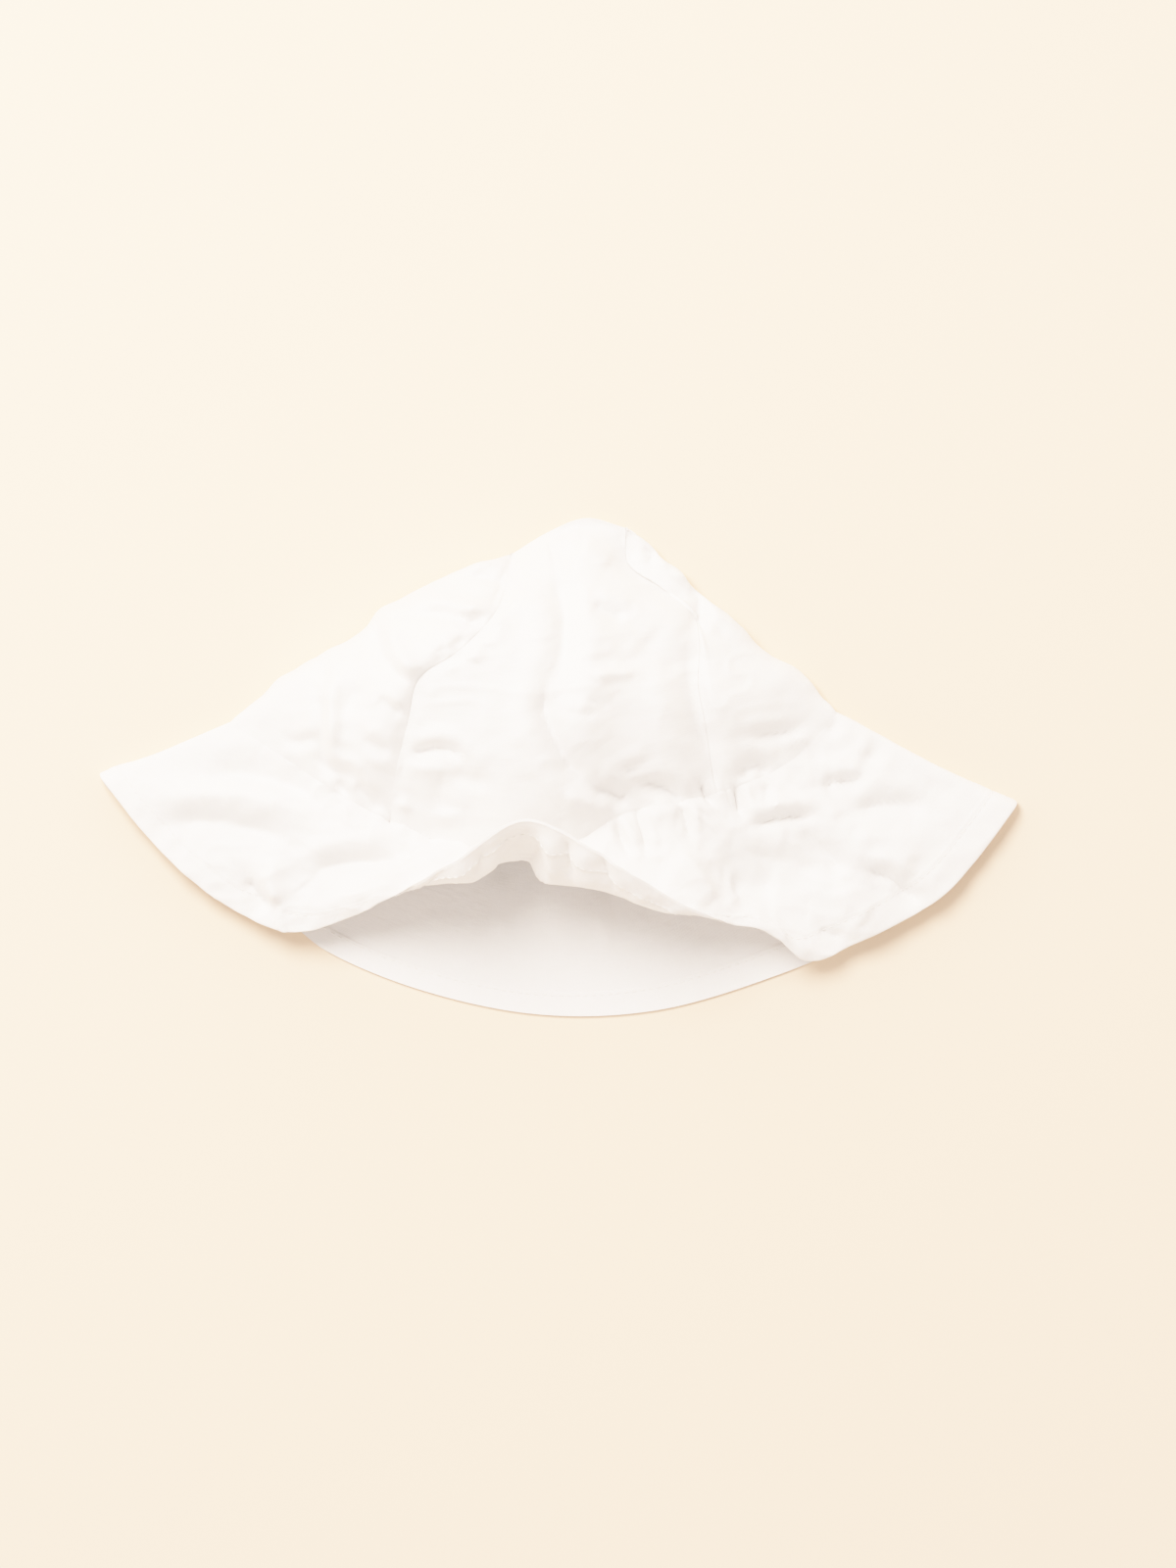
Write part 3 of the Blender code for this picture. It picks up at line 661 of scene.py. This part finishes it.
def centre_panel(crown, brim_seam):
    """The strip from the front seam over the top to the back seam."""
    u = shares_of(CENTRE_SPAN)
    v = shares_of(PANEL_RISE, fine_end=False)
    bottom, s = crown.stretch(LEFT_SEAM_STATION, RIGHT_SEAM_STATION, u)
    grid = stretched(bottom, line_at(crown.seams[0], v), line_at(crown.seams[1], v), line_at(crown.top, u), u, v)
    grid = puffed(grid, u, v)
    up = np.array([lengths(grid[:, c]) for c in range(len(u))]).T
    across = np.array([lengths(row) for row in grid])
    back = across[:, -1:] - across
    left_s, right_s = lengths(grid[:, 0])[:, None], lengths(grid[:, -1])[:, None]
    height = fold_height(grid, FOLDS) * (KEPT_AT_SEAM + (1 - KEPT_AT_SEAM) * smooth_step(0, 6 * MM, across))
    height += crinkle(grid, CENTRE_CRINKLE, 3)
    height += CROWN_GATHERS * gathers(s[None, :], up, 9 * MM, FRONT_GATHER_PITCH, FRONT_SEAM_PATTERN)
    height += groove(up, *FRONT_GROOVE)
    for side, (along_seam, from_seam) in enumerate(((left_s, across), (right_s, back))):
        pitch, pattern = SEAM_GATHER_PITCHES[side], SIDE_SEAM_PATTERNS[side]
        height += SEAM_GATHERS * gathers(along_seam, from_seam, CENTRE_GATHER_REACH, pitch, pattern)
        height += groove(from_seam, SEAM_GROOVE_WIDTHS[side], SEAM_GROOVE_DEPTH)
    grid = lifted(grid, height)
    places = LEFT_SEAM_STATION + (RIGHT_SEAM_STATION - LEFT_SEAM_STATION) * u
    grid = joined(grid, (brim_seam(places) - grid[0])[None], up)
    bottom, _ = crown.stretch(LEFT_BACK, RIGHT_BACK, u)
    sides = [line_at(line, v) for line in crown.back_seams]
    under = stretched(bottom, *sides, np.array([crown.top_turn(x)[1] for x in u]), u, v)
    under[..., 2] = under_lift(under, 1.0 * MM, 31) * np.sin(math.pi * u)[None, :] * np.sin(math.pi * v)[:, None]
    turns = [
        round_the_fold(grid[-2, c], [grid[-1, c], *crown.top_turn(x)], under[-2, c]) for c, x in enumerate(u)
    ]
    turn = np.array(turns).transpose(1, 0, 2)
    return np.concatenate((grid, turn, under[::-1])), (grid[:, 0], grid[:, -1])


def side_panel(crown, side, brim_seam, middle_edge):
    """A gathered side panel, round a side crease from the front seam to the back one."""
    upper_ends = ((0, LEFT_SEAM_STATION), (FRONT_END, RIGHT_SEAM_STATION))[side]
    under_ends = ((LEFT_FLAT, LEFT_BACK), (RIGHT_FLAT, RIGHT_BACK))[side]
    tip, under_tip = crown.top[(0, -1)[side]], crown.back_seams[side][-1]
    u = shares_of(SIDE_SPANS[side], fine_start=False)
    v = shares_of(PANEL_RISE, fine_end=False)
    v[-1] = PANEL_END
    turns = [crown.crease_turn(side, x) for x in v]
    bottom, s = crown.stretch(*upper_ends, u)
    creases, seams = np.array([turn[0] for turn in turns]), line_at(crown.seams[side], v)
    wobble = WOBBLE * drift(lengths(creases) / WOBBLE_LENGTH, 0.5, 41 + side)
    wobble *= smooth_step(0, 0.06, v) * smooth_step(0, 0.1, 1 - v)
    outward = np.array([level_unit(turn[1] - turn[2]) for turn in turns])
    creases = creases + outward * wobble[:, None]
    grid = stretched(bottom, creases, seams, np.array([tip] * len(u)), u, v)
    grid = puffed(grid, u, v, SIDE_PUFFS[side])
    up = np.array([lengths(grid[:, c]) for c in range(len(u))]).T
    across = np.array([lengths(row) for row in grid])
    back = across[:, -1:] - across
    seam_s = lengths(grid[:, -1])[:, None]
    height = fold_height(grid, FOLDS) * (KEPT_AT_SEAM + (1 - KEPT_AT_SEAM) * smooth_step(0, 5 * MM, back))
    height += crinkle(grid, SIDE_CRINKLES[side], 5 + side)
    height += CROWN_GATHERS * gathers(s[None, :], up, 10 * MM, FRONT_GATHER_PITCH, FRONT_SEAM_PATTERN)
    pitch, pattern = SEAM_GATHER_PITCHES[side], SIDE_SEAM_PATTERNS[side]
    height += SEAM_GATHERS * gathers(seam_s, back, SIDE_GATHER_REACHES[side], pitch, pattern)
    height += groove(up, *FRONT_GROOVE) + groove(back, SEAM_GROOVE_WIDTHS[side], SEAM_GROOVE_DEPTH)
    grid = lifted(grid, softened(height, SIDE_SOFTENING[side]))
    places = upper_ends[0] + (upper_ends[1] - upper_ends[0]) * u
    grid = joined(grid, (brim_seam(places) - grid[0])[None], up)
    lapped = middle_edge - np.array((0, 0, SEAM_LAP))
    grid = joined(grid, (lapped - grid[:, -1])[:, None], back, 4 * MM)
    bottom, _ = crown.stretch(*under_ends, u)
    sides = np.array([turn[2] for turn in turns]) + outward * wobble[:, None], line_at(crown.back_seams[side], v)
    under = stretched(bottom, *sides, np.array([under_tip] * len(u)), u, v)
    under[..., 2] = under_lift(under, 0.8 * MM, 33) * np.sin(math.pi * u)[None, :] * np.sin(math.pi * v)[:, None]
    rows = []
    for r, turn in enumerate(turns):
        moved = [point + outward[r] * wobble[r] for point in turn]
        middle = round_the_fold(grid[r, 1], moved, under[r, 1])
        row = [*grid[r, ::-1], *middle, *under[r]]
        rows.append(row[::-1] if side == 0 else row)
    return np.array(rows)


# ---- the brim -------------------------------------------------------------------


def brim_grid(crown):
    """The brim all the way round, from its edge in to the seam."""
    hem = [x * MM for x in HEM_STEPS]
    rest = hem[-1] + (BRIM_WIDTH - hem[-1]) * shares_of(BRIM_WIDTH - hem[-1], fine_start=False)[1:]
    d_edge = np.array(hem + list(rest))
    parts = [n / STATION_STEPS for n in range(STATION_STEPS)]
    places = np.array([
        k + part
        for k in range(RING)
        for part in (CREASE_PARTS if FRONT_END <= k < RIGHT_FLAT or k >= LEFT_FLAT else parts)
    ])
    grid = np.array([[around(ring, place) for place in places] for ring in map(brim_ring, 1 - d_edge / BRIM_WIDTH)])
    upper = (places < FRONT_END)[None, :]
    s = np.interp(places, crown.seam_places, crown.seam_lengths)[None, :]
    edge_s = lengths(grid[0])[None, :]
    d_seam = (BRIM_WIDTH - d_edge)[:, None]
    d_edge = d_edge[:, None]
    near_side = np.minimum(np.abs(places - FRONT_END), np.minimum(places, RING - places))
    clear = smooth_step(0.0, 0.8, near_side)[None, :]
    facing = normals(grid, closed=True)[..., 2]
    height = fold_height(grid, FOLDS) * smooth_step(0.25, 0.7, facing)
    height -= fold_height(grid, ROLL_FOLDS) * smooth_step(0.1, 0.35, -facing)
    height += crinkle(grid, BRIM_CRINKLE, 8) * smooth_step(-0.3, 0.3, facing)
    height += BRIM_GATHERS * gathers(s, d_seam, 11 * MM, FRONT_GATHER_PITCH, FRONT_SEAM_PATTERN)
    height += groove(d_seam, *FRONT_GROOVE)
    share = 1 - d_edge / BRIM_WIDTH
    height += EDGE_WAVE * drift(edge_s / (24 * MM), d_edge / (40 * MM), 51) * smooth_step(0, 0.8, share)
    curl = EDGE_LIFT + EDGE_LIFT_CHANGE * drift(edge_s / (38 * MM), 0.5, 54)
    flat = fold_height(grid, BACK_FOLDS) + under_lift(grid, 0.8 * MM, 53) + curl * smooth_step(0.45, 1.0, share)
    height = np.where(upper, height, flat) * clear
    # the turned edge, its stitch line and the small puckers that the line draws
    height += TURNED_STEP * (1 - smooth_step(HEM_WIDTH - 0.3 * MM, HEM_WIDTH + 0.4 * MM, d_edge))
    pucker = drift(edge_s / (4.6 * MM) + 0.3 * d_edge / (4 * MM), d_edge / (13 * MM), 61)
    pucker += 0.6 * drift(edge_s / (9.5 * MM), d_edge / (16 * MM), 62)
    height += HEM_PUCKER * pucker * np.exp(-(((d_edge - 6 * MM) / (6 * MM)) ** 2))
    height += groove(d_edge - STITCH_LINE, *STITCH_GROOVE)
    rounding = np.clip(1 - d_edge / EDGE_ROUNDING[0], 0, 1)
    height -= EDGE_ROUNDING[1] * (1 - np.sqrt(1 - rounding ** 2))
    # the deep pleat where the brim rolls back
    at = places[None, :] + 0.05 * np.sin(7 * share)
    pleat = smooth_step(*PLEAT_LEFT, at) * (1 - smooth_step(*PLEAT_RIGHT, at))
    back, down = (pleat * MM * np.interp(share, *zip(*((row[0], row[axis]) for row in PLEAT))) for axis in (1, 2))
    grid = grid + normals(grid, closed=True) * height[..., None]
    grid[..., 1] += back
    grid[..., 2] = np.maximum(grid[..., 2] - down, 0.0)
    return grid, places, d_edge[:, 0]


# ---- pieces ---------------------------------------------------------------------


def cloth_piece(name, grid, closed, material, thin=None):
    """A sheet of cloth from rows of points, with its weave laid along the rows."""
    rows, wide = grid.shape[:2]
    last = wide if closed else wide - 1
    faces = [
        (r * wide + c, r * wide + (c + 1) % wide, (r + 1) * wide + (c + 1) % wide, (r + 1) * wide + c)
        for r in range(rows - 1)
        for c in range(last)
    ]
    mesh = bpy.data.meshes.new(name)
    mesh.from_pydata(grid.reshape(-1, 3).tolist(), [], faces)
    across = lengths(np.concatenate((grid[rows // 2], grid[rows // 2, :1])) if closed else grid[rows // 2])
    up = lengths(grid[:, wide // 2])
    layer = mesh.uv_layers.new(name="weave")
    places = np.array([
        (across[c + step], up[r + lift])
        for r in range(rows - 1)
        for c in range(last)
        for step, lift in ((0, 0), (1, 0), (1, 1), (0, 1))
    ])
    layer.uv.foreach_set("vector", places.ravel().astype(np.float32))
    piece = bpy.data.objects.new(name, mesh)
    bpy.context.scene.collection.objects.link(piece)
    mesh.materials.append(material)
    wall = piece.modifiers.new("wall", "SOLIDIFY")
    wall.thickness = CLOTH
    wall.offset = -1.0
    if thin is not None:
        wall.thickness = HEM_CLOTH
        group = piece.vertex_groups.new(name="turned edge")
        for r, weight in enumerate(thin):
            group.add(range(r * wide, (r + 1) * wide), float(weight), "REPLACE")
        wall.vertex_group = group.name
        wall.thickness_vertex_group = CLOTH / HEM_CLOTH
    bpy.ops.object.select_all(action="DESELECT")
    piece.select_set(True)
    bpy.context.view_layer.objects.active = piece
    bpy.ops.object.modifier_apply(modifier="wall")
    bpy.ops.object.shade_smooth_by_angle(angle=math.radians(75))
    return piece


def stitch_shape():
    """One stitch, as a short thread that dips into the cloth at both ends."""
    bpy.ops.object.select_all(action="DESELECT")
    bpy.ops.mesh.primitive_cylinder_add(vertices=6, radius=THREAD / 2, depth=STITCH, rotation=(0, math.pi / 2, 0))
    shape = bpy.context.object
    bpy.ops.object.transform_apply(rotation=True)
    bpy.ops.object.mode_set(mode="EDIT")
    bpy.ops.mesh.select_all(action="SELECT")
    for share in (0.15, 0.35, 0.65, 0.85):
        bpy.ops.mesh.select_all(action="SELECT")
        bpy.ops.mesh.bisect(plane_co=(STITCH * (share - 0.5), 0, 0), plane_no=(1, 0, 0))
    bpy.ops.object.mode_set(mode="OBJECT")
    for vertex in shape.data.vertices:
        end = abs(vertex.co.x) / (STITCH / 2)
        vertex.co.z -= THREAD * 1.1 * end ** 4
        vertex.co.y *= 1 - 0.35 * end ** 4
    mesh = shape.data.copy()
    bpy.data.objects.remove(shape)
    return mesh


def row_of_stitches(name, line, ways, material):
    """A closed row of stitches along a line of points, each as a copy of one shape."""
    shape = stitch_shape()
    line = np.concatenate((line, line[:1]))
    ways = np.concatenate((ways, ways[:1]))
    whole = lengths(line)
    count = int(whole[-1] / STITCH_PITCH)
    made = bmesh.new()
    for k in range(count):
        middle = (k + 0.5) * whole[-1] / count
        spots = [np.array([np.interp(middle + step, whole, line[:, axis], period=whole[-1]) for axis in range(3)])
                 for step in (-STITCH / 2, 0, STITCH / 2)]
        up = Vector([np.interp(middle, whole, ways[:, axis]) for axis in range(3)]).normalized()
        forward = Vector(spots[2] - spots[0]).normalized()
        aside = up.cross(forward).normalized()
        up = forward.cross(aside)
        spot = Vector((spots[0] + 2 * spots[1] + spots[2]) / 4) + up * THREAD * 0.15
        place = Matrix((forward, aside, up)).transposed().to_4x4()
        place.translation = spot
        copy = shape.copy()
        copy.transform(place)
        made.from_mesh(copy)
        bpy.data.meshes.remove(copy)
    mesh = bpy.data.meshes.new(name)
    made.to_mesh(mesh)
    made.free()
    mesh.shade_smooth()
    mesh.materials.append(material)
    piece = bpy.data.objects.new(name, mesh)
    bpy.context.scene.collection.objects.link(piece)
    return piece


# ---- materials ------------------------------------------------------------------


def new_material(name, roughness, shine=0.5):
    """A material, with its nodes, links and shader."""
    material = bpy.data.materials.new(name)
    material.use_nodes = True
    nodes, links = material.node_tree.nodes, material.node_tree.links
    shader = nodes["Principled BSDF"]
    shader.inputs["Roughness"].default_value = roughness
    shader.inputs["Specular IOR Level"].default_value = shine
    return material, nodes, links, shader


def object_noise(nodes, links, scale):
    """Noise that stays with the object."""
    place = nodes.new("ShaderNodeTexCoord")
    cloud = nodes.new("ShaderNodeTexNoise")
    cloud.inputs["Scale"].default_value = scale
    links.new(place.outputs["Object"], cloud.inputs["Vector"])
    return cloud.outputs["Fac"]


def colour_between(nodes, links, shader, factor, colours, positions=(0, 1)):
    """Let the shader's colour go from the first to the second with the factor."""
    ramp = nodes.new("ShaderNodeValToRGB")
    for element, colour, position in zip(ramp.color_ramp.elements, colours, positions):
        element.position = position
        element.color = (*colour, 1)
    links.new(factor, ramp.inputs["Fac"])
    links.new(ramp.outputs["Color"], shader.inputs["Base Color"])


def cotton(name, colour, shade):
    """White plain-weave cotton: crossing threads, slubs and a soft, slightly fuzzy face."""
    material, nodes, links, shader = new_material(name, 0.92, 0.2)
    shader.inputs["Sheen Weight"].default_value = 0.25
    shader.inputs["Sheen Roughness"].default_value = 0.6
    shader.inputs["Subsurface Weight"].default_value = 0.12
    shader.inputs["Subsurface Radius"].default_value = (1.0, 0.85, 0.7)
    shader.inputs["Subsurface Scale"].default_value = 0.002
    place = nodes.new("ShaderNodeUVMap")
    place.uv_map = "weave"

    def noise(size, detail):
        """Noise whose features are about this size, in metres, along and across."""
        mapping = nodes.new("ShaderNodeMapping")
        mapping.inputs["Scale"].default_value = (1 / size[0], 1 / size[1], 1)
        links.new(place.outputs["UV"], mapping.inputs["Vector"])
        cloud = nodes.new("ShaderNodeTexNoise")
        cloud.inputs["Scale"].default_value = 1.0
        cloud.inputs["Detail"].default_value = detail
        links.new(mapping.outputs["Vector"], cloud.inputs["Vector"])
        return cloud.outputs["Fac"]

    def math_node(operation, first, second):
        node = nodes.new("ShaderNodeMath")
        node.operation = operation
        for socket, value in zip(node.inputs, (first, second)):
            if isinstance(value, (int, float)):
                socket.default_value = value
            else:
                links.new(value, socket)
        return node.outputs[0]

    apart = nodes.new("ShaderNodeSeparateXYZ")
    links.new(place.outputs["UV"], apart.inputs[0])
    threads = []
    for axis, size in (("X", (0.0006, 0.012)), ("Y", (0.012, 0.0006))):
        wander = math_node("MULTIPLY", noise(size[::-1], 1.0), 2.2)
        turn = math_node("ADD", math_node("MULTIPLY", apart.outputs[axis], math.pi / 0.0004), wander)
        threads.append(math_node("SINE", turn, 0))
    weave = math_node("MULTIPLY", threads[0], threads[1])
    slubs = math_node("ADD", noise((0.0007, 0.016), 2.0), noise((0.016, 0.0007), 2.0))
    height = math_node("ADD", math_node("MULTIPLY", weave, 0.5), math_node("MULTIPLY", slubs, 1.1))
    soft = noise((0.006, 0.005), 3.0)
    bump = nodes.new("ShaderNodeBump")
    bump.inputs["Strength"].default_value = 0.55
    bump.inputs["Distance"].default_value = 0.00009
    links.new(height, bump.inputs["Height"])
    crease = nodes.new("ShaderNodeBump")
    crease.inputs["Strength"].default_value = 0.5
    crease.inputs["Distance"].default_value = 0.0006
    links.new(soft, crease.inputs["Height"])
    links.new(bump.outputs["Normal"], crease.inputs["Normal"])
    links.new(crease.outputs["Normal"], shader.inputs["Normal"])
    # The colour goes darker where the slub and soft crease noises dip, the same places where the bump sinks: partly
    # random tone of the yarn, partly painted shade in the hollows of the relief.
    yarn_tone_and_dip_shade = math_node("ADD", math_node("MULTIPLY", slubs, 0.35), math_node("MULTIPLY", soft, 0.35))
    colour_between(nodes, links, shader, yarn_tone_and_dip_shade, (shade, colour), (0.3, 0.75))
    return material


def thread_material():
    """White sewing thread with a twist."""
    material, nodes, links, shader = new_material("sewing thread", 0.7)
    shader.inputs["Sheen Weight"].default_value = 0.2
    twist = object_noise(nodes, links, 900.0)
    # The colour is darker where the twist noise dips, just where the bump sinks: painted shade in the grooves of
    # the twist.
    colour_between(nodes, links, shader, twist, ((0.80, 0.78, 0.75), (0.90, 0.885, 0.865)))
    bump = nodes.new("ShaderNodeBump")
    bump.inputs["Distance"].default_value = 0.00008
    links.new(twist, bump.inputs["Height"])
    links.new(bump.outputs["Normal"], shader.inputs["Normal"])
    return material


def floor_material():
    """Plain cream paper."""
    material, nodes, links, shader = new_material("cream paper", 0.95, 0.1)
    lighter = [part * more for part, more in zip(FLOOR_COLOUR, (1.012, 1.01, 1.006))]
    colour_between(nodes, links, shader, object_noise(nodes, links, 3.0), (FLOOR_COLOUR, lighter))
    return material


# ---- stage, light and camera ----------------------------------------------------


def make_stage():
    bpy.ops.object.select_all(action="DESELECT")
    bpy.ops.mesh.primitive_plane_add(size=6.0, location=(0, 0, -0.3 * MM))
    floor = bpy.context.object
    floor.name = "floor"
    floor.data.materials.append(floor_material())
    return floor


def make_light(name, place, aim, size, watts, colour):
    light = bpy.data.lights.new(name, "AREA")
    light.shape = "DISK"
    light.size = size
    light.energy = watts
    light.color = colour
    lamp = bpy.data.objects.new(name, light)
    bpy.context.scene.collection.objects.link(lamp)
    lamp.location = place
    lamp.rotation_euler = (Vector(aim) - Vector(place)).to_track_quat("-Z", "Y").to_euler()


def make_world(colour, overhead, level):
    """Soft light from all round, which grows from overhead down to level."""
    world = bpy.data.worlds.new("studio")
    bpy.context.scene.world = world
    world.use_nodes = True
    nodes, links = world.node_tree.nodes, world.node_tree.links
    way = nodes.new("ShaderNodeTexCoord")
    apart = nodes.new("ShaderNodeSeparateXYZ")
    links.new(way.outputs["Generated"], apart.inputs[0])
    steps = nodes.new("ShaderNodeMapRange")
    steps.interpolation_type = "SMOOTHERSTEP"
    steps.inputs["From Min"].default_value = 0.8
    steps.inputs["From Max"].default_value = 0.1
    steps.inputs["To Min"].default_value = overhead
    steps.inputs["To Max"].default_value = level
    links.new(apart.outputs["Z"], steps.inputs["Value"])
    nodes["Background"].inputs["Color"].default_value = (*colour, 1)
    links.new(steps.outputs["Result"], nodes["Background"].inputs["Strength"])


def bright_print(exposure):
    """A generous exposure whose highlights roll off softly, as the photograph's do."""
    settings = bpy.context.scene.view_settings
    settings.view_transform = "Standard"
    settings.use_curve_mapping = True
    mapping = settings.curve_mapping
    white = 6.0 / exposure
    mapping.white_level = (white, white, white)
    curve = mapping.curves[3]
    for share in (0.04, 0.09, 0.15, 0.22, 0.3, 0.4, 0.52, 0.68, 0.84):
        curve.points.new(share, 1 - math.exp(-exposure * white * share))
    mapping.update()


def make_camera():
    """A long lens straight above the hat, with the photograph's framing."""
    data = bpy.data.cameras.new("camera")
    data.sensor_fit = "VERTICAL"
    data.sensor_height = 36.0
    data.lens = 36.0 * CAMERA_HEIGHT / VIEW_HEIGHT
    data.clip_start, data.clip_end = 0.1, 20.0
    camera = bpy.data.objects.new("camera", data)
    bpy.context.scene.collection.objects.link(camera)
    camera.location = (*VIEW_MIDDLE, CAMERA_HEIGHT)
    bpy.context.scene.camera = camera


CAMERA_HEIGHT = 3.0
VIEW_HEIGHT = 592 * MM
VIEW_MIDDLE = (11.1 * MM, -6.3 * MM)
FLOOR_COLOUR = (0.86, 0.675, 0.52)
# The cotton's own colour, and the darker one that its relief's hollows take, which is partly painted shade.
COTTON_COLOURS = (0.885, 0.872, 0.86), (0.855, 0.838, 0.822)

make_camera()
floor = make_stage()
make_world((1.0, 0.86, 0.765), 0.43, 1.2)
make_light("window", (-0.5, 0.75, 1.4), (0, 0, 0), 0.9, 26, (1.0, 0.88, 0.80))
bright_print(2.75)

crown_cotton, brim_cotton = (cotton(name, *COTTON_COLOURS) for name in ("crown cotton", "brim cotton"))
thread = thread_material()

crown = Crown()
brim_points, brim_places, brim_depths = brim_grid(crown)


def brim_seam(places):
    """Points of the brim's own seam edge."""
    return np.array([np.interp(places, brim_places, brim_points[-1][:, axis], period=RING) for axis in range(3)]).T


middle, middle_edges = centre_panel(crown, brim_seam)
panels = {"crown_centre_panel": middle}
for side, name in enumerate(("crown_left_panel", "crown_right_panel")):
    panels[name] = side_panel(crown, side, brim_seam, middle_edges[side])
everything = np.concatenate([grid.reshape(-1, 3) for grid in (brim_points, *panels.values())])
low, high = everything.min(axis=0), everything.max(axis=0)
shift = np.array((-(low[0] + high[0]) / 2, -(low[1] + high[1]) / 2, 0.0))

pieces = {}
for name, grid in panels.items():
    pieces[name] = cloth_piece(name.replace("crown", "cotton_crown"), grid + shift, False, crown_cotton)
    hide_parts(name)
turned = brim_points + shift
thin = [1.0 - smooth_step(HEM_WIDTH - 0.2 * MM, HEM_WIDTH + 0.4 * MM, d) for d in brim_depths]
pieces["brim"] = cloth_piece("cotton_brim", turned, True, brim_cotton, thin)
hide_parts("brim")

line, ways = turned[STITCH_ROW], normals(turned, closed=True)[STITCH_ROW]
stitches = [
    row_of_stitches("hem_stitches_outside", line, ways, thread),
    row_of_stitches("hem_stitches_inside", line - ways * HEM_CLOTH, -ways, thread),
]
for piece in [*pieces.values(), *stitches]:
    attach(piece, "root")
